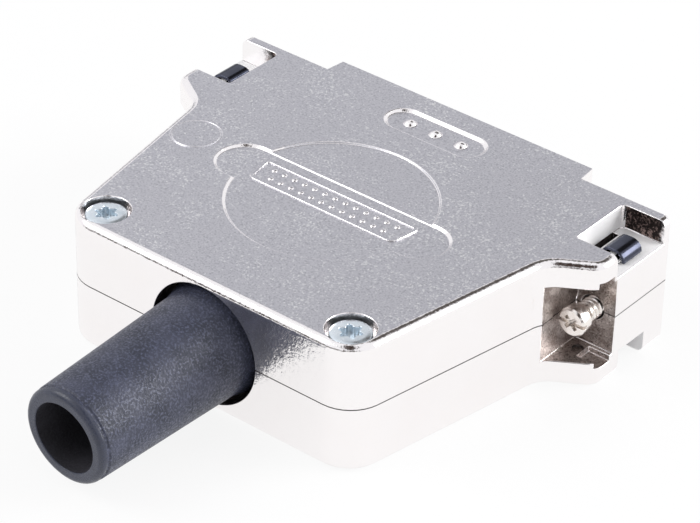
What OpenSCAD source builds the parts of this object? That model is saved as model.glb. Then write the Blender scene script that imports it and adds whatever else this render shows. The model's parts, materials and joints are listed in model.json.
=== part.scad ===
// Metal hood for a 50-way D-sub connector with straight cable entry.
// Two die-cast half shells are closed by two screws at the cable end and by a
// C-shaped spring clip on each side of the mating end. A rubber boot guides the cable.
// X runs across the width, +Y points to the mating face, +Z is up.
// The shells part on the mid-plane between top and bottom.

/* [Shells] */
// Half of the width across the two ears at the mating end
ear_half = 33.9; // [33.7:0.1:34.4]
// Half of the width of the front edge between the two steps
nose_half = 20.1; // [18:0.1:22]
// How far the nose stands in front of the ears
nose_step = 2.79; // [2.6:0.01:3]
// Distance from the front of the nose to the cable end
shell_depth = 50.4; // [50:0.1:51]
// Half of the width at the cable end
rear_half = 22.6; // [22.4:0.1:23]
// Side taper, as width gained per unit of depth
side_slope = 0.183; // [0.17:0.001:0.19]
// Thickness of the closed pair of shells
shell_thick = 17.9; // [17.8:0.1:18.4]
// Thickness of the broad walls
wall = 1.5; // [1.2:0.1:1.7]
// Thickness of the side walls
side_wall = 1.6; // [1.2:0.1:1.8]
// Radius of the rounded edge around the broad faces
edge_r = 1; // [0.6:0.1:1.2]
// Radius of the two corners at the cable end
corner_r = 5; // [4:0.5:6]

/* [Mating end] */
// Distance between the two jackscrews
jack_pitch = 61.11; // [61:0.01:61.2]
// Half of the width of the window for the connector body
window_half = 27.2; // [27:0.1:27.4]
// Half of the height of the window for the connector body
window_half_z = 7; // [6.6:0.1:7.1]
// Half of the height of the seat for the connector flange
flange_half_z = 7.75; // [7.72:0.01:7.8]
// Thickness of the ridge in front of the flange
ridge_t = 1.5; // [1.2:0.1:1.6]
// Thickness of the plate behind the flange, at the front of each ear
lip_t = 1.33; // [1.25:0.01:1.4]
// Length of the corner notch behind that plate, on the upper shell
notch_len = 9.8; // [9.5:0.1:9.9]
// Height of the notch floor above the mid-plane
notch_floor = 5.7; // [5.65:0.01:5.8]

/* [Side pockets] */
// Where each pocket's inner wall lies
pocket_x = 28.25; // [28.2:0.01:28.4]
// Front wall of the pocket, behind the front of the nose
pocket_front = 13.75; // [13.7:0.01:13.8]
// Half of the pocket's height
pocket_half_z = 5.4; // [5.4:0.05:5.6]

/* [Jackscrews] */
// Diameter of the jackscrew thread
jack_d = 2.84; // [2.8:0.01:2.86]
// Diameter of the clearance hole for the thread
jack_hole_d = 3.35; // [3.2:0.05:3.5]
// Diameter of the hole in the front plate, which holds the thread at the tip captive
jack_keep_d = 2.6; // [2.5:0.05:2.7]
// Diameter of the jackscrew head
jack_head_d = 3.9; // [3.7:0.1:4.2]
// Length of the jackscrew head
jack_head_l = 1.7; // [1.5:0.1:1.8]
// Distance from the front of the nose back to the face of the head
jack_face = 18.25; // [18.1:0.05:18.4]

/* [Cable boot] */
// Diameter at the free end
boot_end_d = 12.5; // [12:0.1:13]
// Diameter where it leaves the shells
boot_root_d = 14.1; // [13.8:0.1:14.4]
// Diameter of the bore for the cable
boot_bore_d = 9.2; // [9:0.1:9.6]
// Distance from the front of the nose to the free end
boot_reach = 73.9; // [72:0.1:76]
// How far the boot hangs down, in degrees
boot_droop = 2.2; // [0:0.1:2.4]
// How far the boot leans to the left, in degrees
boot_lean = 1.5; // [0:0.1:1.6]

/* [Fasteners] */
// Across from the middle to each assembly screw
screw_x = 19.15; // [19:0.05:19.3]
// Back from the front of the nose to the assembly screws
screw_back = 46.35; // [46.2:0.05:46.6]
// Diameter of the assembly screw head
screw_head_d = 5.25; // [5:0.05:5.5]
// Diameter of the counterbore around the head
counterbore_d = 6.2; // [6.1:0.1:6.4]

/* [Hidden] */
$fn = 64;
eps = 0.02;
half_t = shell_thick / 2;
cavity_z = half_t - wall;
jack_x = jack_pitch / 2;
notch_front = nose_step + lip_t;
notch_x = 27.65;
lower_notch = [6.9, 12.35];
clip_y = [-11.15, -7.4];
chamber_y = [-11.85, -5.95];
chamber_out = 30.4;
rib_out = 32.1;
rib_top = 6.75;
clip_t = 0.42;
clip_web = [28.45, 28.8];
pivot_back = 45.75;
grip_half = 0.7;
neck_hole_d = 12.2;
recess_d = 16.2;
fit_gap = 0.02;
clamp_x = 9.3;
clamp_back = 39.6;
clamp_l = 6;
clamp_mid = -clamp_back + clamp_l / 2;
clamp_t = 2.6;
clamp_r = 2.9;
post_top = -0.6;
shell_screw_seat = 2.45;
slot_y = -6.03;
slot_half = 7.6;
slot_r = 2.57;
slot_depth = 0.35;
split_chamfer = 0.08;
pit = [30, -15.5, 1.5, 0.35];
pin_x = 14.2;
pin_back = 48.1;
pin_d = 2;
origin_y = boot_reach / 2;

// Points along an arc from angle a0 to a1
function arc_points(centre, r, a0, a1, steps = 6) =
    [for (i = [0:steps]) let (a = a0 + (a1 - a0) * i / steps)
        [centre[0] + r * cos(a), centre[1] + r * sin(a)]];

function unit(v) = v / norm(v);
function cross2(a, b) = a[0] * b[1] - a[1] * b[0];

// Crossing point of two lines, each given by a point and a direction
function crossing(p, u, q, v) = p + u * cross2(q - p, v) / cross2(u, v);

// Arc that rounds the corner p between points a and b with radius r
function corner_arc(a, p, b, r, steps) =
    let (
        u = unit(a - p),
        v = unit(b - p),
        half = acos(u * v) / 2,
        centre = p + unit(u + v) * r / sin(half),
        start = p + u * r / tan(half) - centre,
        turn = (180 - 2 * half) * (cross2(u, v) < 0 ? 1 : -1)
    )
    [for (i = [0:steps]) let (a = turn * i / steps)
        centre + [start[0] * cos(a) - start[1] * sin(a), start[0] * sin(a) + start[1] * cos(a)]];

// An outline is a list of corners [x, y, radius, share of the inset on the edge that follows]
function corner_xy(c) = [c[0], c[1]];
function at(list, i) = list[(i + len(list)) % len(list)];

// Outline moved inwards by d times each edge's share, its corners kept tangent
function inset_outline(c, d) =
    [for (i = [0:len(c) - 1]) let (
        before = corner_xy(at(c, i - 1)),
        here = corner_xy(c[i]),
        after = corner_xy(at(c, i + 1)),
        u = unit(here - before),
        v = unit(after - here),
        p = before + [-u[1], u[0]] * d * at(c, i - 1)[3],
        q = here + [-v[1], v[0]] * d * c[i][3],
        moved = abs(cross2(u, v)) < 0.001 ? q : crossing(p, u, q, v),
        shrink = min(at(c, i - 1)[3], c[i][3]) * d,
        r = c[i][2] == 0 ? 0 : max(c[i][2] + (cross2(u, v) < 0 ? shrink : -shrink), 0.05)
    ) [moved[0], moved[1], r, c[i][3]]];

// The outline's points, with every corner of some radius turned into an arc
function outline_points(c, steps = 8) =
    [for (i = [0:len(c) - 1])
        each (c[i][2] == 0 ? [corner_xy(c[i])]
            : corner_arc(corner_xy(at(c, i - 1)), corner_xy(c[i]), corner_xy(at(c, i + 1)), c[i][2], steps))];

// Corners of the right half of the shells' outline, from the cable end to the nose
ear_slope = 0.62;
ear_back = 16.9;
waist_x = (rear_half + side_slope * (shell_depth - ear_back - ear_slope * ear_half))
    / (1 - side_slope * ear_slope);
right_side = [
    [rear_half, -shell_depth, corner_r, 1],
    [waist_x, -ear_back + ear_slope * (waist_x - ear_half), 3.9, 1],
    [ear_half, -ear_back, 2.55, 1],
    [ear_half, -nose_step, 0.4, 0]
];
left_side = [for (i = [len(right_side) - 1:-1:0]) let (c = right_side[i])
    [-c[0], c[1], c[2], i == 0 ? 1 : right_side[i - 1][3]]];
shell_outline = concat(right_side, left_side);

// Half of the closed form behind the nose, lofted so that its edge is rounded
// and the edge at the split slightly broken.
// Its flat ends are strips between each point on the right and its twin on the left.
module ear_and_body_form(edge_steps = 6) {
    levels = concat([[split_chamfer, 0], [0, split_chamfer]], [for (i = [0:edge_steps]) let (a = 90 * i / edge_steps)
        [edge_r * (1 - cos(a)), half_t - edge_r + edge_r * sin(a)]]);
    rings = [for (l = levels) [for (p = outline_points(inset_outline(shell_outline, l[0])))
        [p[0], p[1], l[1]]]];
    n = len(rings[0]);
    top = (len(rings) - 1) * n;
    polyhedron(
        points = [for (ring = rings) each ring],
        faces = concat(
            [for (i = [0:n / 2 - 2]) [i, i + 1, n - 2 - i, n - 1 - i]],
            [for (i = [0:n / 2 - 2]) [top + n - 1 - i, top + n - 2 - i, top + i + 1, top + i]],
            [for (k = [0:len(rings) - 2]) for (i = [0:n - 1]) let (j = (i + 1) % n)
                [k * n + i, (k + 1) * n + i, (k + 1) * n + j, k * n + j]]
        )
    );
}

// The nose, whose sides lean in slightly and whose edges stay sharp
module nose_form() {
    lean = 0.3;
    linear_extrude(half_t) polygon([
        [nose_half + lean, -nose_step - 1], [nose_half + lean, -nose_step], [nose_half, 0],
        [-nose_half, 0], [-nose_half - lean, -nose_step], [-nose_half - lean, -nose_step - 1]
    ]);
}

// A box given by its two corners
module block(low, high) {
    translate(low) cube(high - low);
}

// A round bar or hole along Y
module rod_y(x, z, d, back, front) {
    translate([x, back, z]) rotate([-90, 0, 0]) cylinder(d = d, h = front - back);
}

module both_sides() {
    children();
    mirror([1, 0, 0]) children();
}

// Room for the wires, between the partition and the plate behind the flange
module cavity() {
    partition_y = -pivot_back + grip_half;
    room_half = window_half - 0.2;
    boss_d = 7.6;
    inner = function (y) rear_half + side_slope * (y + shell_depth) - side_wall;
    half = [
        [inner(partition_y), partition_y, 2, 1],
        [inner(-20), -20, 0, 1],
        [room_half, -18.5, 0, 1],
        [room_half, -notch_front, 0, 1]
    ];
    plan = concat(half, [for (i = [len(half) - 1:-1:0]) [-half[i][0], half[i][1], half[i][2], 1]]);
    difference() {
        translate([0, 0, -eps]) linear_extrude(cavity_z + eps) polygon(outline_points(plan));
        both_sides() translate([screw_x, -screw_back, -1]) cylinder(d = boss_d, h = 20);
    }
}

// Window for the connector body, and the seat for its flange between nose and plate
module connector_seat() {
    block([-window_half, -notch_front - 1, -eps], [window_half, 1, window_half_z]);
    block([-ear_half, -nose_step, -eps], [ear_half, -ridge_t, flange_half_z]);
}

// Recess for the boot and the smaller hole that grips its neck
module cable_hole() {
    rod_y(0, 0, recess_d, -shell_depth - 1, -pivot_back - grip_half);
    rod_y(0, 0, neck_hole_d, -shell_depth, -pivot_back + grip_half + 1);
}

// Pocket that gives access to the jackscrew head. The screw passes a clearance
// hole, then a smaller one in the front plate that its threaded tip can't pass.
module side_pocket() {
    pocket_back = 23.7;
    relief_x = 30.8;
    relief_back = 16.9;
    relief = 0.8;
    front_web = 0.35;
    head_gap = 0.5;
    block([pocket_x, -pocket_back, -eps], [ear_half + 2, -pocket_front, pocket_half_z]);
    block([relief_x, -relief_back, -eps],
        [ear_half + 2, -notch_front - notch_len - front_web, pocket_half_z + relief]);
    rod_y(jack_x, 0, jack_head_d + 2 * head_gap, -jack_face - head_gap, -pocket_front);
    rod_y(jack_x, 0, jack_hole_d, -pocket_front - 1, -notch_front);
    rod_y(jack_x, 0, jack_keep_d, -notch_front - 1, 0);
}

// Corner notch, open upwards and to the side, from back to front
module corner_notch(back, front) {
    plan = [
        [notch_x, back, 0.3, 1],
        [ear_half + 3, back, 0, 1],
        [ear_half + 3, front, 0, 1],
        [notch_x, front, 0.8, 1]
    ];
    translate([0, 0, notch_floor]) linear_extrude(10) polygon(outline_points(plan, 4));
}

// Chamber of the spring clip inside the ear
module clip_chamber() {
    block([notch_x, chamber_y[0], -eps], [chamber_out, chamber_y[1], notch_floor + eps]);
}

// Rib that the clip hooks over, rounded like the hook, and a thin web across
// the mouth of the chamber
module clip_rib(back, front) {
    root = notch_floor - 0.5;
    profile = [
        [chamber_out, root, 0, 1], [rib_out, root, 0, 1],
        [rib_out, rib_top, 0.9, 1], [chamber_out, rib_top, 0.5, 1]
    ];
    translate([0, front, 0]) rotate([90, 0, 0])
        linear_extrude(front - back) polygon(outline_points(profile, 4));
    block([clip_web[0], chamber_y[0] - 0.1, root], [clip_web[1], chamber_y[1] + 0.1, notch_floor]);
}

// What both halves have in common, as an upper half
module half_shell(notch) {
    union() {
        difference() {
            union() {
                ear_and_body_form();
                nose_form();
            }
            cavity();
            connector_seat();
            cable_hole();
            both_sides() {
                side_pocket();
                corner_notch(notch[0], notch[1]);
                clip_chamber();
            }
        }
        both_sides() clip_rib(max(notch[0], chamber_y[0] + 0.1), min(notch[1], chamber_y[1] - 0.7));
    }
}

// Round recess below z = 0 whose wall slopes at 45 degrees
module round_recess(r, depth) {
    rise = 0.5;
    translate([0, 0, -depth]) cylinder(r1 = r - depth, r2 = r + rise, h = depth + rise, $fn = 96);
}

// The same with a straight stretch between two round ends
module slot_recess(half_l, r, depth) {
    rise = 0.5;
    straight = half_l - r;
    for (end = [-1, 1])
        translate([end * straight, 0, 0]) round_recess(r, depth);
    rotate([90, 0, 90]) linear_extrude(2 * straight, center = true)
        polygon([[depth - r, -depth], [r - depth, -depth], [r + rise, rise], [-r - rise, rise]]);
}

// Shallow recesses of the broad face: a disc, a band across it at the level of
// the disc's rear part, a finger slot and the ring that an ejector left
module face_recesses() {
    disc = [13.35, -26.6, 0.18];
    band = [17.7, 3.93, -26.8, 0.3];
    ring = [-22.55, -26.1, 3.2, 0.13];
    ring_tilt = 0.8;
    translate([0, disc[1], half_t]) {
        round_recess(disc[0], disc[2]);
        intersection() {
            round_recess(disc[0], band[3]);
            block([-ear_half, -ear_half, -1], [ear_half, band[2] - disc[1], 1]);
        }
    }
    translate([0, band[2], half_t]) slot_recess(band[0], band[1], band[3]);
    translate([0, slot_y, half_t]) slot_recess(slot_half, slot_r, slot_depth);
    translate([ring[0], ring[1], half_t]) rotate([ring_tilt, ring_tilt, 0]) rotate_extrude()
        polygon([[ring[2], -ring[3]], [ring[2] + 3 * ring[3], 2 * ring[3]], [ring[2] - 3 * ring[3], 2 * ring[3]]]);
}

// Three round nubs in the finger recess
module grip_domes() {
    base_r = 0.82;
    dome_h = 0.5;
    dome_r = (base_r ^ 2 + dome_h ^ 2) / (2 * dome_h);
    dome_pitch = 4.05;
    for (i = [-1:1])
        translate([i * dome_pitch, slot_y, half_t - slot_depth]) intersection() {
            translate([0, 0, dome_h - dome_r]) sphere(dome_r, $fn = 48);
            translate([0, 0, -0.2]) cylinder(r = 1, h = 1);
        }
}

module upper_shell() color([0.76, 0.76, 0.79]) {
    place() {
        difference() {
            half_shell([-notch_front - notch_len, -notch_front]);
            face_recesses();
            both_sides() translate([screw_x, -screw_back, 0]) {
                translate([0, 0, half_t - shell_screw_seat]) cylinder(d = counterbore_d, h = 5);
                translate([0, 0, -1]) cylinder(d = 3.2, h = 20);
            }
            both_sides() translate([pin_x, -pin_back, -eps]) cylinder(d = pin_d + 0.2, h = 1.6);
        }
        grip_domes();
    }
}

// Cradle and posts under the cable, where the clamp bears
module clamp_cradle() {
    half_w = 6.6;
    root = cavity_z + 0.5;
    difference() {
        union() {
            block([-half_w, -clamp_back, -post_top], [half_w, -clamp_back + clamp_l, root]);
            for (end = [-1, 1])
                translate([clamp_x * end, clamp_mid, -post_top]) cylinder(r = clamp_r, h = root + post_top);
        }
        rod_y(0, 0, 8.8, -clamp_back - 1, -clamp_back + clamp_l + 1);
        for (end = [-1, 1])
            translate([clamp_x * end, clamp_mid, -1]) cylinder(d = 2.5, h = 7.5);
    }
}

module lower_shell() color([0.76, 0.76, 0.79]) {
    place() mirror([0, 0, 1]) {
        difference() {
            half_shell([-lower_notch[1], -lower_notch[0]]);
            both_sides() {
                translate([screw_x, -screw_back, -1]) cylinder(d = 3, h = 8.2);
                translate([pit[0], pit[1], pocket_half_z - eps]) cylinder(d = pit[2], h = pit[3], $fn = 32);
            }
        }
        clamp_cradle();
        both_sides() translate([pin_x, -pin_back, -1.3]) cylinder(d = pin_d, h = 3);
    }
}

// The boot's section, as radius against distance from the grip in the partition
module boot_section(length) {
    end_r = boot_end_d / 2;
    bore_r = boot_bore_d / 2;
    lip_r = 0.8;
    root_s = shell_depth - pivot_back;
    polygon(concat(
        [[bore_r, -3.2], [7.1, -3.2], [7.3, -3], [7.3, -1.1], [6, -1.1], [6, 1.1]],
        [[7.7, 1.1], [7.7, 2.2], [boot_root_d / 2, root_s], [end_r + 0.06, length - 2.1]],
        [[end_r - 0.12, length - 1.95], [end_r - 0.12, length - 1.75], [end_r, length - 1.6]],
        arc_points([end_r - lip_r, length - lip_r], lip_r, 0, 90),
        arc_points([bore_r + 0.6, length - 0.6], 0.6, 90, 180)
    ));
}

module cable_boot() color([0.2, 0.21, 0.23]) {
    end_r = boot_end_d / 2;
    tilt = acos(cos(boot_droop) * cos(boot_lean));
    length = (boot_reach - pivot_back - 0.8 - (end_r - 0.8) * sin(tilt)) / cos(tilt) + 0.8;
    place() translate([0, -pivot_back, 0]) rotate([boot_droop, 0, -boot_lean])
        rotate([90, 0, 0]) rotate_extrude($fn = 96) boot_section(length);
}

// Bridge over the cable, seated on the two posts of the cradle, with ribs that bite the jacket
module cable_clamp() color([0.72, 0.72, 0.75]) {
    seat = post_top + fit_gap;
    outer_d = 12.8;
    rib_d = 8.1;
    groove_d = 8.9;
    front = -clamp_back + clamp_l;
    place() difference() {
        union() {
            intersection() {
                rod_y(0, 0, outer_d, -clamp_back, front);
                block([-outer_d, -clamp_back - 1, seat], [outer_d, front + 1, outer_d]);
            }
            block([-clamp_x, -clamp_back, seat], [clamp_x, front, seat + clamp_t]);
            for (end = [-1, 1])
                translate([clamp_x * end, clamp_mid, seat]) cylinder(r = clamp_l / 2, h = clamp_t);
        }
        rod_y(0, 0, rib_d, -clamp_back - 1, front + 1);
        for (groove = [-1, 1])
            rod_y(0, 0, groove_d, clamp_mid + groove * 1.6 - 0.7, clamp_mid + groove * 1.6 + 0.7);
        for (end = [-1, 1])
            translate([clamp_x * end, clamp_mid, -1]) cylinder(d = 2.8, h = 9);
    }
}

// Screw with a pan head whose underside lies at z = 0 and a six-pointed recess
module pan_screw(head_d, head_h, shank_d, shank_l) {
    crown = head_h * 0.55;
    difference() {
        union() {
            rotate_extrude() polygon(concat(
                [[0, 0], [head_d / 2, 0]],
                arc_points([head_d / 2 - crown, head_h - crown], crown, 0, 90),
                [[0, head_h]]
            ));
            translate([0, 0, -shank_l]) cylinder(d = shank_d, h = shank_l + 0.2);
            translate([0, 0, -shank_l - 0.4]) cylinder(d1 = shank_d - 0.8, d2 = shank_d, h = 0.4);
        }
        for (turn = [0, 60, 120])
            rotate([0, 0, turn]) block([-head_d * 0.26, -head_d * 0.085, head_h * 0.45],
                [head_d * 0.26, head_d * 0.085, head_h + 1]);
    }
}

module assembly_screw(side) {
    place() translate([side * screw_x, -screw_back, half_t - shell_screw_seat + fit_gap])
        pan_screw(screw_head_d, 2, 2.96, 12.4);
}

module assembly_screw_left() color([0.72, 0.76, 0.8]) assembly_screw(-1);
module assembly_screw_right() color([0.72, 0.76, 0.8]) assembly_screw(1);

module clamp_screw(side) {
    place() translate([side * clamp_x, clamp_mid, post_top + clamp_t + 2 * fit_gap])
        pan_screw(4.5, 1.7, 2.46, 7.4);
}

module clamp_screw_left() color([0.72, 0.76, 0.8]) clamp_screw(-1);
module clamp_screw_right() color([0.72, 0.76, 0.8]) clamp_screw(1);

// Jackscrew: chamfered head with a cross and a slot, and a shank that is
// relieved between the thread at the tip and the one behind the head. It is
// drawn back, its tip level with the front of the nose
module jackscrew(side) {
    head_r = jack_head_d / 2;
    thread_r = jack_d / 2;
    relief_r = thread_r - 0.3;
    total = jack_face;
    tip_thread = total - 2.65;
    place() translate([side * jack_x, -jack_face, 0]) rotate([-90, 0, 0]) difference() {
        rotate_extrude() polygon([
            [0, 0], [head_r - 0.25, 0], [head_r, 0.25], [head_r, jack_head_l - 0.1],
            [head_r - 0.1, jack_head_l], [thread_r, jack_head_l],
            [thread_r, 6.4], [relief_r, 6.7], [relief_r, tip_thread - 0.25], [thread_r, tip_thread],
            [thread_r, total - 0.5], [thread_r - 0.5, total], [0, total]
        ]);
        block([-head_r - 1, -0.25, -1], [head_r + 1, 0.25, 0.6]);
        for (turn = [45, 135])
            rotate([0, 0, turn]) block([-1.1, -0.28, -1], [1.1, 0.28, 1]);
    }
}

module jackscrew_left() color([0.8, 0.78, 0.74]) jackscrew(-1);
module jackscrew_right() color([0.8, 0.78, 0.74]) jackscrew(1);

// The clip's middle line from its back up to the tip of the upper hook
clip_line = [
    [28.25, 4.25, 1.1], [29.81, 5.6, 0.6], [29.81, 7.19, 0.8], [32.69, 7.19, 1.15]
];
clip_tip = [32.69, 5.9];

// Closed strip of thickness t around an open line of corners and its mirror image
function strip_points(line, tip, t) =
    let (
        upper = concat(
            [for (i = [0:len(line) - 1]) let (
                before = i == 0 ? [line[0][0], 0] : [line[i - 1][0], line[i - 1][1]],
                after = i == len(line) - 1 ? tip : [line[i + 1][0], line[i + 1][1]]
            ) each corner_arc(before, [line[i][0], line[i][1]], after, line[i][2], 5)],
            [tip]
        ),
        lower = [for (i = [len(upper) - 1:-1:0]) [upper[i][0], -upper[i][1]]],
        mid = concat(lower, upper),
        n = len(mid),
        normal = [for (i = [0:n - 1]) let (
            d = unit(mid[min(i + 1, n - 1)] - mid[max(i - 1, 0)])
        ) [-d[1], d[0]]]
    )
    concat(
        [for (i = [0:n - 1]) mid[i] + normal[i] * t / 2],
        [for (i = [n - 1:-1:0]) mid[i] - normal[i] * t / 2]
    );

module spring_clip(side) {
    place() mirror([side < 0 ? 1 : 0, 0, 0]) translate([0, clip_y[1], 0]) rotate([90, 0, 0])
        linear_extrude(clip_y[1] - clip_y[0]) polygon(strip_points(clip_line, clip_tip, clip_t));
}

module spring_clip_left() color([0.16, 0.17, 0.24]) spring_clip(-1);
module spring_clip_right() color([0.16, 0.17, 0.24]) spring_clip(1);

// The origin lies under the middle of the whole hood, on the surface it rests on
module place() {
    translate([0, origin_y, half_t]) children();
}

upper_shell();
lower_shell();
cable_boot();
cable_clamp();
clamp_screw_left();
clamp_screw_right();
assembly_screw_left();
assembly_screw_right();
jackscrew_left();
jackscrew_right();
spring_clip_left();
spring_clip_right();
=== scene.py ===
import json
import math
import bmesh
import bpy
from mathutils import Matrix, Vector


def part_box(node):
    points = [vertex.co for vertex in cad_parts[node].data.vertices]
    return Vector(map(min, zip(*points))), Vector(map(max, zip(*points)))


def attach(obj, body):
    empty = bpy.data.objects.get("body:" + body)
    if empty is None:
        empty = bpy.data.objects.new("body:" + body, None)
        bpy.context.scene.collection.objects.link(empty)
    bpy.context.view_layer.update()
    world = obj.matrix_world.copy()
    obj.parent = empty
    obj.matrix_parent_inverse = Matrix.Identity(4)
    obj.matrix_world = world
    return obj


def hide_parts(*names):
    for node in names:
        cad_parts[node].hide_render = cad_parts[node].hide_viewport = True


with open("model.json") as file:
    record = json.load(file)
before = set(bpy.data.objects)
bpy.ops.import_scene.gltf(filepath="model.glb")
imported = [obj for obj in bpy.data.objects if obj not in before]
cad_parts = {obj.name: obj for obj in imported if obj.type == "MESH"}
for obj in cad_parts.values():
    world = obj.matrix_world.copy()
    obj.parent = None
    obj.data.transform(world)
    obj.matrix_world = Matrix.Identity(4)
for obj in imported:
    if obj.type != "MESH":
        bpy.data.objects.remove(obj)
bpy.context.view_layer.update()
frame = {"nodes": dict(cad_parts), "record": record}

# Sizes are in millimetres from the middle of the nose's front edge, at the height where
# the halves meet, as in the part's source. Places in the row frame are in metres
MM = 0.001
MID_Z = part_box("upper_shell")[0].z
NOSE_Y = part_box("upper_shell")[1].y
HALF_T = MID_Z / MM

# An edge is sharp above this angle between its faces
SHARP = math.radians(35)


def at(x, y, z):
    """A place in the row frame, from millimetres."""
    return Vector((x * MM, NOSE_Y + y * MM, MID_Z + z * MM))


def in_mm(place):
    """Millimetres of a place in the row frame."""
    return Vector((place.x, place.y - NOSE_Y, place.z - MID_Z)) / MM


def place_mesh(bm, x, y, z, turn=None):
    """Moves a mesh modelled in millimetres around its own origin to its place."""
    if turn is not None:
        bmesh.ops.rotate(bm, matrix=turn, verts=bm.verts)
    bmesh.ops.scale(bm, vec=(MM, MM, MM), verts=bm.verts)
    bmesh.ops.translate(bm, vec=at(x, y, z), verts=bm.verts)


# Node helpers

def set_or_link(tree, socket, value):
    """Links a socket where the value is another node's output, and sets it where it is a number."""
    if isinstance(value, bpy.types.NodeSocket):
        tree.links.new(value, socket)
    else:
        socket.default_value = value


def add(tree, kind, inputs=None, **settings):
    """A shader node with its settings and inputs."""
    made = tree.nodes.new(kind)
    for key, value in settings.items():
        setattr(made, key, value)
    for key, value in (inputs or {}).items():
        set_or_link(tree, made.inputs[key], value)
    return made


def maths(tree, operation, *values):
    """The result of a Math node."""
    return add(tree, "ShaderNodeMath", dict(enumerate(values)), operation=operation).outputs[0]


def colour_mix(tree, factor, first, second):
    """The first colour where the factor is 0, the second where it is 1."""
    factor_socket, first_socket, second_socket, result_socket = 0, 6, 7, 2
    made = add(tree, "ShaderNodeMix", data_type="RGBA")
    for socket, value in ((factor_socket, factor), (first_socket, first), (second_socket, second)):
        set_or_link(tree, made.inputs[socket], value)
    return made.outputs[result_socket]


def ramp_between(tree, value, low, high, to_low=0.0, to_high=1.0):
    """A smooth step of value from low to high."""
    made = add(tree, "ShaderNodeMapRange", {
        "Value": value, "From Min": low, "From Max": high, "To Min": to_low, "To Max": to_high,
    }, interpolation_type="SMOOTHSTEP")
    return made.outputs["Result"]


def noise(tree, size_mm, detail=2.0, roughness=0.5, offset=(0, 0, 0)):
    """Noise on object coordinates whose features are about size_mm across."""
    place = add(tree, "ShaderNodeTexCoord").outputs["Object"]
    if any(offset):
        place = add(tree, "ShaderNodeMapping", {"Vector": place, "Location": offset}).outputs["Vector"]
    made = add(tree, "ShaderNodeTexNoise", {
        "Vector": place, "Scale": 1 / (size_mm * MM), "Detail": detail, "Roughness": roughness,
    })
    return made.outputs["Fac"]


def bump(tree, height, strength, distance_mm, below=None):
    """A bumped normal, on top of another one where that is given."""
    inputs = {"Height": height, "Strength": strength, "Distance": distance_mm * MM}
    if below is not None:
        inputs["Normal"] = below
    return add(tree, "ShaderNodeBump", inputs).outputs["Normal"]


def new_material(name, metallic=0.0, roughness=0.5):
    """A material with its tree and its shader, linked to the output."""
    material = bpy.data.materials.new(name)
    material.use_nodes = True
    tree = material.node_tree
    tree.nodes.clear()
    shader = add(tree, "ShaderNodeBsdfPrincipled", {"Metallic": metallic, "Roughness": roughness})
    add(tree, "ShaderNodeOutputMaterial", {"Surface": shader.outputs["BSDF"]})
    return material, tree, shader


def dress(tree, shader, tone, rough=None, normal=None):
    """Links a shader's colour, and its roughness and normal where they vary."""
    for key, value in (("Base Color", tone), ("Roughness", rough), ("Normal", normal)):
        if value is not None:
            tree.links.new(value, shader.inputs[key])


# Materials

def satin_nickel():
    """Broad faces of the casting: grey satin plating with a fine grain, with painted shade in its low spots
    and painted glints on fine specks.
    """
    cool, warm = (0.555, 0.555, 0.60, 1), (0.62, 0.615, 0.65, 1)
    painted_grain_shade, painted_glint = (0.41, 0.41, 0.45, 1), (0.81, 0.81, 0.82, 1)
    material, tree, shader = new_material("satin_nickel", metallic=1.0)
    cloud = noise(tree, 9, detail=3)
    grain = noise(tree, 0.26, detail=3, roughness=0.7)
    speck = noise(tree, 0.27, detail=1, offset=(0.1, 0.2, 0.05))
    tone = colour_mix(tree, cloud, cool, warm)
    # Painted shade where the grain is low, in the hollows of its bump
    tone = colour_mix(tree, ramp_between(tree, grain, 0.54, 0.30), tone, painted_grain_shade)
    # Painted glints: bright specks in the base colour where the speck noise rises above the cloud
    spark_from = ramp_between(tree, cloud, 0.35, 0.65, 0.50, 0.62)
    spark = maths(tree, "SUBTRACT", speck, spark_from)
    tone = colour_mix(tree, ramp_between(tree, spark, 0.0, 0.22), tone, painted_glint)
    dress(tree, shader, tone, ramp_between(tree, grain, 0.3, 0.7, 0.44, 0.32), bump(tree, grain, 0.35, 0.03))
    return material


def bright_nickel():
    """Edges and sides of the casting: mirror plating with a slight orange peel."""
    warm, clean = (0.95, 0.918, 0.912, 1), (0.972, 0.95, 0.952, 1)
    material, tree, shader = new_material("bright_nickel", metallic=1.0)
    ripple = noise(tree, 1.6)
    peel = noise(tree, 0.40, roughness=0.6, offset=(0.3, 0.1, 0.2))
    tone = colour_mix(tree, noise(tree, 6), warm, clean)
    normal = bump(tree, peel, 0.60, 0.06, below=bump(tree, ripple, 0.25, 0.12))
    dress(tree, shader, tone, ramp_between(tree, peel, 0.35, 0.65, 0.08, 0.20), normal)
    return material


def notch_nickel():
    """Inner walls and floors of the ear notches: clean pale plating."""
    pale, paler = (0.975, 0.97, 0.97, 1), (0.99, 0.985, 0.985, 1)
    material, tree, shader = new_material("notch_nickel", metallic=0.15, roughness=0.5)
    skin = noise(tree, 0.5, detail=3)
    dress(tree, shader, colour_mix(tree, skin, pale, paler), normal=bump(tree, skin, 0.2, 0.03))
    return material


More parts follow.
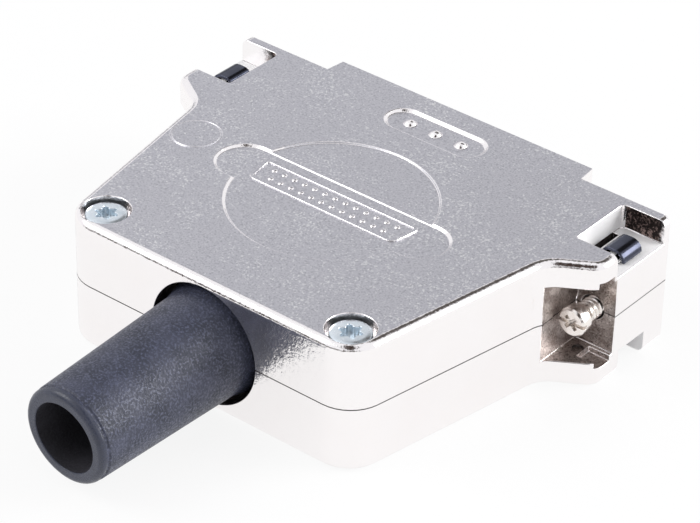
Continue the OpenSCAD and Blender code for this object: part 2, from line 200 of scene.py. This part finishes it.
def pocket_nickel():
    """Side pockets: dull plating over the grainy casting, with painted shade and dark reflection as a taupe
    mottle, and painted shade and glints in the grain.
    """
    painted_dark_reflection, plated = (0.36, 0.30, 0.275, 1), (0.74, 0.68, 0.655, 1)
    painted_grain_shade, painted_glint = (0.17, 0.14, 0.13, 1), (0.92, 0.88, 0.86, 1)
    material, tree, shader = new_material("pocket_nickel", metallic=1.0)
    reflection_mottle = noise(tree, 2.6, detail=3, roughness=0.6)
    grain = noise(tree, 0.24, detail=3, roughness=0.75, offset=(0.2, 0.3, 0.1))
    # Dark taupe mottle: painted shade and dark reflection of the recess
    tone = colour_mix(tree, ramp_between(tree, reflection_mottle, 0.38, 0.62), painted_dark_reflection, plated)
    # Painted shade in the low grain, then painted glints on its high spots
    tone = colour_mix(tree, ramp_between(tree, grain, 0.50, 0.34), tone, painted_grain_shade)
    tone = colour_mix(tree, ramp_between(tree, grain, 0.58, 0.68), tone, painted_glint)
    dress(tree, shader, tone, ramp_between(tree, reflection_mottle, 0.3, 0.7, 0.50, 0.30), bump(tree, grain, 0.5, 0.05))
    return material


def corner_nickel():
    """Rear walls of the ears' front plates: bright plating at the outer end, with painted shade and dark
    reflection, black and brown, towards the inner wall.
    """
    painted_shade_black, painted_shade_brown, plated = (0.022, 0.017, 0.016, 1), (0.30, 0.22, 0.20, 1), (0.96, 0.94, 0.94, 1)
    raggedness = 3.2 * MM
    right_dark_end, right_clean_start = 34.6 * MM, 35.6 * MM
    left_dark_end, left_clean_start = -27.0 * MM, -28.6 * MM
    material, tree, shader = new_material("corner_nickel", metallic=1.0)
    place = add(tree, "ShaderNodeTexCoord").outputs["Object"]
    across = add(tree, "ShaderNodeSeparateXYZ", {0: place}).outputs["X"]
    patch = noise(tree, 1.4, detail=4, roughness=0.75)
    grain = noise(tree, 0.32, detail=3, roughness=0.7)
    ragged = maths(tree, "MULTIPLY_ADD", patch, raggedness, across)
    right = ramp_between(tree, ragged, right_dark_end, right_clean_start)
    left = ramp_between(tree, ragged, left_dark_end, left_clean_start)
    clean = maths(tree, "MAXIMUM", right, left)
    painted_mottle = maths(tree, "ADD", grain, patch)
    # Painted shade and dark reflection, mottled black and brown by grain and patch noise
    tone = colour_mix(tree, ramp_between(tree, painted_mottle, 0.98, 1.16), painted_shade_black, painted_shade_brown)
    tone = colour_mix(tree, clean, tone, plated)
    dress(tree, shader, tone, ramp_between(tree, clean, 0.0, 1.0, 0.42, 0.16), bump(tree, grain, 0.4, 0.05))
    return material


def dark_hole():
    """Deep holes and chambers, painted black and dark brown as shade."""
    black, brown = (0.025, 0.02, 0.018, 1), (0.14, 0.12, 0.115, 1)
    material, tree, shader = new_material("dark_hole", metallic=0.6, roughness=0.40)
    shade_mottle = noise(tree, 0.9, detail=3)
    tone = colour_mix(tree, ramp_between(tree, shade_mottle, 0.35, 0.65), black, brown)
    dress(tree, shader, tone, normal=bump(tree, shade_mottle, 0.3, 0.08))
    return material


def split_line():
    """The faces where the halves meet, painted near-black as the shade in the gap between them."""
    black, brown = (0.02, 0.018, 0.017, 1), (0.10, 0.092, 0.09, 1)
    material, tree, shader = new_material("split_line", roughness=0.55)
    dress(tree, shader, colour_mix(tree, noise(tree, 1.2, detail=3), black, brown))
    return material


def cast_clamp():
    """The clamp inside: the same plating with a rougher skin."""
    dull, clean = (0.66, 0.655, 0.67, 1), (0.80, 0.79, 0.79, 1)
    material, tree, shader = new_material("cast_clamp_plating", metallic=1.0, roughness=0.24)
    skin = noise(tree, 0.5, detail=4, roughness=0.6)
    dress(tree, shader, colour_mix(tree, skin, dull, clean), normal=bump(tree, skin, 0.35, 0.05))
    return material


def boot_rubber(name, leather, roughness, dark, light):
    """Dark bluish rubber. leather is how strongly its fine grain stands out, in its bump and in the painted
    sparkle that lightens its pebble tops.
    """
    painted_mottle = [channel * (1 + 1.1 * leather) for channel in light[:3]]
    material, tree, shader = new_material(name)
    pebble = noise(tree, 0.28, roughness=0.6)
    dust = noise(tree, 3.0, detail=3, offset=(0.2, 0.4, 0.1))
    tone = colour_mix(tree, ramp_between(tree, dust, 0.3, 0.7), dark, light)
    # Painted sparkle: pebble tops lighter in the base colour
    tone = colour_mix(tree, ramp_between(tree, pebble, 0.44, 0.76), tone, (*painted_mottle, 1))
    rough = ramp_between(tree, pebble, 0.35, 0.65, roughness + 0.14, roughness - 0.10)
    dress(tree, shader, tone, rough, bump(tree, pebble, leather, 0.09))
    return material


def hazy_metal(name, haze_mm, dark, light, dull, smooth, grain=None):
    """Metal clouded by a faint haze. grain is the size, strength and depth of its fine marks."""
    material, tree, shader = new_material(name, metallic=1.0)
    haze = noise(tree, haze_mm, detail=3)
    normal = None
    if grain:
        size_mm, strength, depth_mm = grain
        normal = bump(tree, noise(tree, size_mm), strength, depth_mm)
    dress(tree, shader, colour_mix(tree, haze, dark, light),
          ramp_between(tree, haze, 0.3, 0.7, dull, smooth), normal)
    return material


def studio_floor():
    """White sweep. What camera and reflections see of it is mostly its own white."""
    own_white = 0.88
    material, tree, shader = new_material("studio_floor", roughness=0.9)
    shader.inputs["Base Color"].default_value = (0.92, 0.92, 0.92, 1)
    shader.inputs["Specular IOR Level"].default_value = 0.0
    path = add(tree, "ShaderNodeLightPath")
    seen = maths(tree, "MAXIMUM", path.outputs["Is Camera Ray"], path.outputs["Is Glossy Ray"])
    white = add(tree, "ShaderNodeEmission", {"Color": (1, 1, 1, 1), "Strength": 1.0})
    both = add(tree, "ShaderNodeMixShader", {
        0: maths(tree, "MULTIPLY", seen, own_white), 1: shader.outputs["BSDF"], 2: white.outputs["Emission"],
    })
    out = next(node for node in tree.nodes if node.type == "OUTPUT_MATERIAL")
    tree.links.new(both.outputs["Shader"], out.inputs["Surface"])
    return material


CASTING = (
    satin_nickel(), bright_nickel(), notch_nickel(), corner_nickel(), pocket_nickel(), dark_hole(),
    split_line(),
)
SATIN, BRIGHT, NOTCH, CORNER, POCKET, HOLE, SPLIT = range(len(CASTING))
BOOT = (
    boot_rubber("boot_rubber", 1.0, 0.45, (0.024, 0.028, 0.047, 1), (0.048, 0.053, 0.084, 1)),
    boot_rubber("boot_rubber_lip", 0.06, 0.30, (0.034, 0.039, 0.062, 1), (0.044, 0.050, 0.078, 1)),
    # The bore's darker, greyer rubber is painted shade inside the bore
    boot_rubber("boot_rubber_bore", 0.20, 0.60, (0.022, 0.021, 0.026, 1), (0.036, 0.035, 0.043, 1)),
)
GRAINED, LIP, BORE = range(len(BOOT))
CLAMP = cast_clamp()
# Bluish zinc of the screws, warm nickel of the turned jackscrews and blued steel of the clips
ZINC = hazy_metal("zinc_plate", 0.8, (0.64, 0.72, 0.79, 1), (0.82, 0.87, 0.90, 1), 0.36, 0.26,
                  grain=(0.25, 0.2, 0.03))
TURNED = hazy_metal("turned_nickel", 0.6, (0.88, 0.82, 0.77, 1), (0.95, 0.92, 0.89, 1), 0.26, 0.16,
                    grain=(0.2, 0.15, 0.02))
BLUED = hazy_metal("blued_steel", 1.3, (0.046, 0.050, 0.070, 1), (0.086, 0.092, 0.126, 1), 0.24, 0.15)


# Helpers for the pieces

def finish_piece(bm, name, body, slot, materials, *replaced):
    """Turns a mesh in metres into a piece on its body that stands for CAD nodes."""
    mesh = bpy.data.meshes.new(name)
    bm.to_mesh(mesh)
    bm.free()
    for material in materials:
        mesh.materials.append(material)
    piece = bpy.data.objects.new(name, mesh)
    bpy.context.scene.collection.objects.link(piece)
    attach(piece, body)
    if replaced:
        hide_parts(*replaced)
    return piece


def soften_edges(piece, width_mm, method="ANGLE", material=-1, clamp=True):
    """Small rounding on sharp edges, with flat faces kept flat."""
    piece.data.shade_smooth()
    piece.data.set_sharp_from_angle(angle=SHARP)
    bevel = piece.modifiers.new("edge_rounding", "BEVEL")
    bevel.width = width_mm * MM
    bevel.segments = 2
    bevel.limit_method = method
    bevel.angle_limit = SHARP
    bevel.material = material
    bevel.use_clamp_overlap = clamp
    level = piece.modifiers.new("flat_faces_flat", "WEIGHTED_NORMAL")
    level.weight = 100
    level.keep_sharp = True


def merged_copy(node):
    """A copy of a CAD node's mesh with its doubles merged and its flat faces joined."""
    merge_distance = 0.0005 * MM
    flat_within = math.radians(0.3)
    bm = bmesh.new()
    bm.from_mesh(frame["nodes"][node].data)
    bmesh.ops.remove_doubles(bm, verts=bm.verts, dist=merge_distance)
    bmesh.ops.dissolve_limit(bm, angle_limit=flat_within, verts=bm.verts, edges=bm.edges)
    return bm


def cut_through(bm, parts, place, normal, **options):
    """Cuts some parts of a mesh along a plane."""
    on_plane = 1e-7
    bmesh.ops.bisect_plane(bm, geom=parts, dist=on_plane, plane_co=place, plane_no=normal, **options)


def each_once(parts):
    """Parts of a mesh without repeats. Their order is kept, so each run builds the same mesh."""
    return list(dict.fromkeys(parts))


def ring(bm, radius, height, lobe=0.0):
    """Edges of a ring around the Z axis, waved into six lobes by a share of its radius."""
    lobes = 6
    verts = bmesh.ops.create_circle(bm, segments=72, radius=radius)["verts"]
    for v in verts:
        v.co *= 1 + lobe * math.cos(lobes * math.atan2(v.co.y, v.co.x))
        v.co.z = height
    return each_once(edge for v in verts for edge in v.link_edges)


def stack_of_rings(sizes):
    """A closed turned shape in millimetres, from rings of radius, height and lobe."""
    bm = bmesh.new()
    rings = [ring(bm, *size) for size in sizes]
    for below, above in zip(rings, rings[1:]):
        bmesh.ops.bridge_loops(bm, edges=below + above)
    for end in (rings[0], rings[-1]):
        bmesh.ops.edgeloop_fill(bm, edges=end)
    bmesh.ops.recalc_face_normals(bm, faces=bm.faces)
    return bm


def join(bm, other):
    """Adds another mesh's islands to a mesh."""
    spare = bpy.data.meshes.new("spare")
    other.to_mesh(spare)
    other.free()
    bm.from_mesh(spare)
    bpy.data.meshes.remove(spare)


# The casting's regions, as ranges of distance from the middle, place along the hood and
# height from the split. They hold on both sides and on both halves
POCKET_REGION = ((27.0, 33.85), (-23.8, -13.7), (0.0, 6.3))
NOTCH_REGION = ((27.6, 33.85), (-14.0, -4.0), (5.0, 9.0))
EJECTOR_REGION = ((18.7, 26.4), (-30.0, -22.2), (8.5, 9.0))
BOOT_HOLE_REGION = ((0.0, 8.2), (-51.0, -46.0), (0.0, 8.5))
BOOT_HOLE_DEPTH_REGION = ((0.0, 8.2), (-50.35, -46.0), (0.0, 8.5))
CHAMBER_REGION = ((27.6, 30.5), (-12.0, -5.9), (0.0, 5.65))
JACK_HOLE_REGION = ((28.8, 32.3), (-13.9, -7.0), (0.0, 1.75))
RECESS_REGION = ((0.0, 18.2), (-41.0, -10.0), (8.3, 9.0))
RECESS_MIDDLE_REGION = ((0.0, 12.0), (-41.0, -10.0), (8.3, 9.0))
PIT_REGION = ((29.2, 30.77), (-16.3, -14.7), (5.0, 6.0))
RELIEF_EDGE_REGION = ((30.7, 30.9), (-17.0, -13.7), (5.3, 5.5))
SPLIT_REACH = 0.1
BROAD_FROM = HALF_T - 0.6

# How far a face's normal points along an axis
SQUARE = 0.999
MOSTLY = 0.9
HALFWAY = 0.5
PARTLY = 0.3
HARDLY = 0.1
BARELY = 0.05


def inside(place, region):
    """Whether a folded place lies in a region."""
    return all(low <= value <= high for value, (low, high) in zip(place, region))


def folded(place):
    """A place in millimetres with x and height counted from the middle."""
    local = in_mm(place)
    return Vector((abs(local.x), local.y, abs(local.z)))


def cut_split_edges(bm):
    """Breaks the edges at the split inside the pockets and around the boot."""
    at_split, width = 0.01, 0.07
    edges = []
    for edge in bm.edges:
        ends = [folded(v.co) for v in edge.verts]
        middle = (ends[0] + ends[1]) / 2
        open_edge = max(end.z for end in ends) < at_split and edge.calc_face_angle(0) > SHARP
        if open_edge and (inside(middle, POCKET_REGION) or inside(middle, BOOT_HOLE_REGION)):
            edges.append(edge)
    bmesh.ops.bevel(bm, geom=edges, offset=width * MM, segments=1, profile=0.5, affect="EDGES",
                    material=-1, clamp_overlap=True)


def part_notch_walls(bm):
    """Parts each ear notch's inner wall from the chamber below it, at the height of the notch floor."""
    wall_x, reach, notch_floor = 27.65, 0.1, 5.7
    for sign in (-1, 1):
        walls = [face for face in bm.faces if abs(face.normal.x) > MOSTLY
                 and abs(folded(face.calc_center_median()).x - wall_x) < reach]
        around = each_once(part for face in walls for part in (face, *face.edges, *face.verts))
        cut_through(bm, around, at(0, 0, sign * notch_floor), (0, 0, 1))


def casting_finish(face):
    """Which finish a face of a half shell takes, from where it lies and the way it faces."""
    centre = face.calc_center_median()
    place = folded(centre)
    rearward = -face.normal.y
    across, along, upright = (abs(value) for value in face.normal)
    # Faces at the split take split_line's painted shade
    if place.z < SPLIT_REACH:
        return SPLIT
    if upright > SQUARE and place.z > BROAD_FROM:
        return SATIN
    if inside(place, EJECTOR_REGION) and upright > HALFWAY:
        return SATIN
    pit_wall = inside(place, PIT_REGION) and upright < HALFWAY
    jack_hole = inside(place, JACK_HOLE_REGION) and along < HARDLY
    # Pit walls, jackscrew holes and chambers take dark_hole's painted shade
    if pit_wall or jack_hole or inside(place, CHAMBER_REGION):
        return HOLE
    # The recesses' far walls stay satin beside the middle, where their line is faint
    if inside(place, RECESS_MIDDLE_REGION) and PARTLY < rearward < MOSTLY:
        return SATIN
    # Pocket faces take pocket_nickel, whose dark mottle is painted shade and reflection
    if inside(place, POCKET_REGION):
        square = max(across, along, upright) > SQUARE
        if square or along < BARELY or inside(place, PIT_REGION):
            return POCKET
    if inside(place, NOTCH_REGION):
        if across > MOSTLY or upright > MOSTLY:
            return NOTCH
        # The upper half's plate rear walls take corner_nickel, with its painted shade towards the inner wall
        if rearward > MOSTLY:
            return CORNER if centre.z > MID_Z else NOTCH
    # The boot hole's deep wall takes dark_hole's painted shade
    if inside(place, BOOT_HOLE_DEPTH_REGION) and rearward < HALFWAY:
        return HOLE
    return BRIGHT


def weigh_edges(bm):
    """Marks the sharp edges to be rounded, without those of the split and of the small pits."""
    weight = bm.edges.layers.float.new("bevel_weight_edge")
    partly_rounded = ((RELIEF_EDGE_REGION, 0.4), (EJECTOR_REGION, 0.25), (RECESS_REGION, 0.55))
    for edge in bm.edges:
        finishes = [face.material_index for face in edge.link_faces]
        middle = (folded(edge.verts[0].co) + folded(edge.verts[1].co)) / 2
        if edge.calc_face_angle(0) < SHARP or SPLIT in finishes or inside(middle, PIT_REGION):
            continue
        edge[weight] = next((share for region, share in partly_rounded if inside(middle, region)), 1.0)


# The pieces

def shell(node):
    """A half shell, with satin broad faces, bright sides and dull pockets."""
    bm = merged_copy(node)
    cut_split_edges(bm)
    part_notch_walls(bm)
    for face in bm.faces:
        face.material_index = casting_finish(face)
    weigh_edges(bm)
    piece = finish_piece(bm, node + "_casting", "hood", "nickel_casting", CASTING, node)
    soften_edges(piece, 0.09, method="WEIGHT", material=BRIGHT, clamp=False)


def boot():
    """The rubber boot, grained outside, smooth at its lip, and painted darker in its bore as shade."""
    bore_r = 4.6
    lip_length = 0.9
    groove_start, groove_end, groove_shift = 1.55, 2.15, 0.75
    cad_rounding, mouth_rounding = 0.6, 0.15
    slack, bore_slack = 0.01, 0.02
    mount = next(m for m in frame["record"]["mounts"] if m["name"] == "cable_bore")
    middle = Vector(mount["pos_m"])
    axis = Vector(mount["axis"])
    bm = merged_copy("cable_boot")
    tip = max((v.co - middle).dot(axis) for v in bm.verts)

    def measured(place):
        """How far a place lies behind the tip and off the axis, in millimetres, and which way out."""
        along = (place - middle).dot(axis)
        out = place - middle - axis * along
        return (tip - along) / MM, out.length / MM, out.normalized()

    mouth_r = bore_r + cad_rounding
    taken_off = 1 - mouth_rounding / cad_rounding
    for v in bm.verts:
        from_tip, off_axis, out = measured(v.co)
        if groove_start < from_tip < groove_end and off_axis > mouth_r:
            v.co += axis * groove_shift * MM
        elif from_tip < cad_rounding + slack and off_axis < mouth_r + slack:
            v.co += axis * from_tip * taken_off * MM - out * (off_axis - bore_r) * taken_off * MM
    for face in bm.faces:
        from_tip, off_axis, _ = measured(face.calc_center_median())
        if off_axis < bore_r + bore_slack and from_tip > mouth_rounding:
            face.material_index = BORE
        elif from_tip < lip_length:
            face.material_index = LIP
        else:
            face.material_index = GRAINED
    piece = finish_piece(bm, "cable_boot_rubber", "hood", "black_rubber", BOOT, "cable_boot")
    soften_edges(piece, 0.08)


def assembly_screw(side, sign):
    """Pan-head screw with a six-lobed socket."""
    x, y, seat = 19.15, -46.35, HALF_T - 2.43
    turn = math.radians(17)
    socket = ((1.22, 0.95, 0.2), (1.25, 1.93, 0.2), (1.31, 1.99, 0.19))
    head = ((1.9, 1.99), (2.35, 1.95), (2.52, 1.86), (2.6, 1.7), (2.625, 1.4), (2.625, 0))
    shank = ((1.48, 0), (1.48, -12.4), (1.08, -12.8))
    bm = stack_of_rings(socket + head + shank)
    place_mesh(bm, sign * x, y, seat, Matrix.Rotation(turn, 3, "Z"))
    node = "assembly_screw_" + side
    piece = finish_piece(bm, node + "_zinc", "hood", "zinc_screw", (ZINC,), node)
    soften_edges(piece, 0.04)


def thread_ridge(crest_r, core_r, start, end):
    """A closed helical ridge of a 60-degree thread of 40 turns to the inch."""
    pitch = 25.4 / 40
    flank = math.radians(30)
    steps_per_turn = 24
    crest = pitch / 16
    base = crest + (crest_r - core_r) * math.tan(flank)
    turns = int((end - start - 2 * base) / pitch)
    corners = ((core_r, -base), (crest_r, -crest), (crest_r, crest), (core_r, base))
    bm = bmesh.new()
    sections = []
    for step in range(turns * steps_per_turn + 1):
        turn = step / steps_per_turn
        x, y = math.cos(math.tau * turn), math.sin(math.tau * turn)
        middle = start + base + pitch * turn
        sections.append([bm.verts.new((r * x, r * y, middle + z)) for r, z in corners])
    for one, other in zip(sections, sections[1:]):
        for k, after in ((0, 1), (1, 2), (2, 3), (3, 0)):
            bm.faces.new((one[k], other[k], other[after], one[after]))
    bm.faces.new(sections[0])
    bm.faces.new(sections[-1][::-1])
    return bm


def jackscrew(side, sign):
    """Jackscrew: the CAD head on a shank with cut threads behind it and at the tip."""
    node = "jackscrew_" + side
    half_spacing = 30.555
    head_l, total = 1.72, 18.25
    thread_r, core_r, relief_r = 1.42, 1.04, 1.12
    relief_start, relief_end = 6.6, total - 2.9
    in_head, taper, tip_chamfer, sunk = 0.2, 0.1, 0.12, 0.02
    threads = ((1.75, 6.35), (total - 2.6, total - 0.1))
    head = merged_copy(node)
    everything = head.verts[:] + head.edges[:] + head.faces[:]
    cut_through(head, everything, at(0, head_l - total, 0), (0, 1, 0), clear_outer=True)
    bmesh.ops.holes_fill(head, edges=[edge for edge in head.edges if edge.is_boundary], sides=0)
    bmesh.ops.recalc_face_normals(head, faces=head.faces)
    shank = stack_of_rings((
        (core_r, head_l - in_head), (core_r, relief_start - taper),
        (relief_r, relief_start), (relief_r, relief_end),
        (core_r, relief_end + taper), (core_r, total - tip_chamfer), (core_r - tip_chamfer, total),
    ))
    for start, end in threads:
        join(shank, thread_ridge(thread_r, core_r - sunk, start, end))
    place_mesh(shank, sign * half_spacing, -total, 0, Matrix.Rotation(math.radians(-90), 3, "X"))
    join(head, shank)
    piece = finish_piece(head, node + "_turned", side + "_jackscrew", "nickel_jackscrew", (TURNED,), node)
    soften_edges(piece, 0.03)


def cad_piece(node, suffix, slot, material, rounding_mm):
    """A piece with the CAD node's own shape, its edges rounded."""
    piece = finish_piece(merged_copy(node), node + suffix, "hood", slot, (material,), node)
    soften_edges(piece, rounding_mm)


def connector_outline():
    """Raised outline of a connector with its two rows of contacts, on the band's floor."""
    half_long, half_short, half_high, corner = 12.2, 11.4, 2.35, 0.9
    line, rise = 0.5, 0.16
    rows, pitch = ((0.85, 13), (-0.85, 12)), 1.62
    dot_foot_r, dot_top_r = 0.42, 0.22
    band_middle_y, band_floor = -26.8, HALF_T - 0.31
    bm = bmesh.new()
    corners = (
        (-half_short, -half_high), (half_short, -half_high), (half_long, half_high), (-half_long, half_high),
    )
    bm.faces.new([bm.verts.new((x, y, 0)) for x, y in corners])
    bmesh.ops.bevel(bm, geom=bm.verts[:], offset=corner, segments=6, profile=0.5, affect="VERTICES",
                    material=-1, clamp_overlap=True)
    border = bmesh.ops.inset_region(bm, faces=bm.faces[:], thickness=line, use_boundary=True,
                                    use_even_offset=True)["faces"]
    middle = [face for face in bm.faces if face not in border]
    bmesh.ops.delete(bm, geom=middle, context="FACES")
    raised = bmesh.ops.extrude_face_region(bm, geom=bm.faces[:], use_keep_orig=True)
    top = [item for item in raised["geom"] if isinstance(item, bmesh.types.BMVert)]
    bmesh.ops.translate(bm, vec=(0, 0, rise), verts=top)
    for row_y, count in rows:
        for i in range(count):
            dot = bmesh.ops.create_cone(bm, cap_ends=True, segments=20, radius1=dot_foot_r,
                                        radius2=dot_top_r, depth=rise)
            place = ((i - (count - 1) / 2) * pitch, row_y, rise / 2)
            bmesh.ops.translate(bm, vec=place, verts=dot["verts"])
    bmesh.ops.recalc_face_normals(bm, faces=bm.faces)
    for face in bm.faces:
        face.material_index = SATIN if face.normal.z > MOSTLY else BRIGHT
    place_mesh(bm, 0, band_middle_y, band_floor)
    piece = finish_piece(bm, "connector_outline", "hood", "nickel_casting", CASTING[:2])
    soften_edges(piece, 0.06, material=BRIGHT)


shell("upper_shell")
shell("lower_shell")
connector_outline()
boot()
cad_piece("cable_clamp", "_casting", "clamp_casting", CLAMP, 0.15)
for side_name, side_sign in (("left", -1), ("right", 1)):
    cad_piece("clamp_screw_" + side_name, "_zinc", "zinc_screw", ZINC, 0.05)
    cad_piece("spring_clip_" + side_name, "_strip", "blued_spring", BLUED, 0.06)
    assembly_screw(side_name, side_sign)
    jackscrew(side_name, side_sign)


# Floor, light and camera. Directions are in degrees: azimuth 0 is the cable end, 90 the right side

CAMERA_AZIMUTH = 38.563
CAMERA_ELEVATION = 33.819


def direction(azimuth, elevation):
    """Unit vector towards a place in the studio."""
    a, e = math.radians(azimuth), math.radians(elevation)
    return Vector((math.sin(a) * math.cos(e), -math.cos(a) * math.cos(e), math.sin(e)))


def make_floor():
    """A wide floor, a hair below the underside."""
    half_width, just_below = 6.0, -0.03 * MM
    bm = bmesh.new()
    bmesh.ops.create_grid(bm, x_segments=1, y_segments=1, size=half_width)
    bmesh.ops.translate(bm, vec=(0, 0, just_below), verts=bm.verts)
    mesh = bpy.data.meshes.new("studio_floor")
    bm.to_mesh(mesh)
    bm.free()
    mesh.materials.append(studio_floor())
    floor = bpy.data.objects.new("studio_floor", mesh)
    bpy.context.scene.collection.objects.link(floor)


def make_world():
    """A light tent with a grey screen and a dark gap on its far side, a dark opening for the
    camera and a dark strip of table edge at the cable end. The camera itself sees white."""
    tent = (0.94, 0.94, 0.965, 1)
    screen = (0.46, 0.46, 0.49, 1)
    gap = (0.10, 0.09, 0.085, 1)
    opening = (0.05, 0.035, 0.03, 1)
    white = (1, 1, 1, 1)
    light_on_objects = 0.85
    opening_azimuth = CAMERA_AZIMUTH - 4
    # Azimuth, elevation, and how many degrees around them are fully and partly covered
    screen_spot = (-130, 6, 13, 18)
    gap_spot = (-172, 53, 16, 24)
    opening_spots = (
        (opening_azimuth, 38, 13, 17), (opening_azimuth, 50, 12, 17), (opening_azimuth, 61, 11, 16),
    )
    table_spot = (5, 5, 45, 60)
    world = bpy.data.worlds.new("studio")
    bpy.context.scene.world = world
    world.use_nodes = True
    tree = world.node_tree
    tree.nodes.clear()
    look = add(tree, "ShaderNodeTexCoord").outputs["Generated"]
    height = add(tree, "ShaderNodeSeparateXYZ", {0: look}).outputs["Z"]

    def near(azimuth, elevation, inner, outer):
        """1 within inner degrees of a direction, 0 past outer degrees."""
        dot = add(tree, "ShaderNodeVectorMath", {
            0: look, 1: direction(azimuth, elevation),
        }, operation="DOT_PRODUCT").outputs["Value"]
        return ramp_between(tree, dot, math.cos(math.radians(outer)), math.cos(math.radians(inner)))

    tone = colour_mix(tree, near(*screen_spot), tent, screen)
    tone = colour_mix(tree, near(*gap_spot), tone, gap)
    for spot in opening_spots:
        tone = colour_mix(tree, near(*spot), tone, opening)
    edge_bottom = ramp_between(tree, height, 0.0, 0.03)
    edge_top = ramp_between(tree, height, 0.19, 0.24, 1.0, 0.0)
    table_edge = maths(tree, "MULTIPLY", edge_bottom, edge_top)
    tone = colour_mix(tree, maths(tree, "MULTIPLY", table_edge, near(*table_spot)), tone, opening)
    below = ramp_between(tree, height, -0.02, 0.0, 1.0, 0.0)
    tone = colour_mix(tree, below, tone, white)
    path = add(tree, "ShaderNodeLightPath")
    tone = colour_mix(tree, path.outputs["Is Camera Ray"], tone, white)
    seen = maths(tree, "MAXIMUM", path.outputs["Is Camera Ray"], path.outputs["Is Glossy Ray"])
    strength = ramp_between(tree, seen, 0, 1, light_on_objects, 1.0)
    back = add(tree, "ShaderNodeBackground", {"Color": tone, "Strength": strength})
    add(tree, "ShaderNodeOutputWorld", {"Surface": back.outputs["Background"]})


def make_lamp(name, azimuth, elevation, size, watts):
    """A round softbox that faces the middle of the hood."""
    distance = 0.9
    aim = at(0, -25, 0)
    lamp = bpy.data.lights.new(name, "AREA")
    lamp.shape = "DISK"
    lamp.size = size
    lamp.energy = watts
    holder = bpy.data.objects.new(name, lamp)
    bpy.context.scene.collection.objects.link(holder)
    towards = direction(azimuth, elevation)
    holder.location = aim + towards * distance
    holder.rotation_euler = towards.to_track_quat("Z", "Y").to_euler()


def make_camera():
    """The photo's camera, from a perspective fit to the hood's main lines."""
    focal_px = 3176.28
    image_width_px = 700
    distance_mm = 392.37
    target = at(2.037, -25.33, 0)
    roll = math.radians(1.286)
    data = bpy.data.cameras.new("photo_camera")
    data.sensor_width = 36
    data.lens = focal_px * data.sensor_width / image_width_px
    data.clip_start = 0.01
    data.clip_end = 20
    camera = bpy.data.objects.new("photo_camera", data)
    bpy.context.scene.collection.objects.link(camera)
    back = direction(CAMERA_AZIMUTH, CAMERA_ELEVATION)
    right = (-back).cross(Vector((0, 0, 1))).normalized()
    up = right.cross(-back)
    turned_right = right * math.cos(roll) + up * math.sin(roll)
    turned_up = up * math.cos(roll) - right * math.sin(roll)
    turn = Matrix((turned_right, turned_up, back)).transposed()
    camera.matrix_world = Matrix.Translation(target + back * distance_mm * MM) @ turn.to_4x4()
    bpy.context.scene.camera = camera


make_floor()
make_world()
make_lamp("softbox_right", 128, 22, size=0.60, watts=6.0)
make_lamp("softbox_left", -50, 42, size=0.5, watts=2.4)
make_camera()
bpy.context.scene.view_settings.view_transform = "Standard"
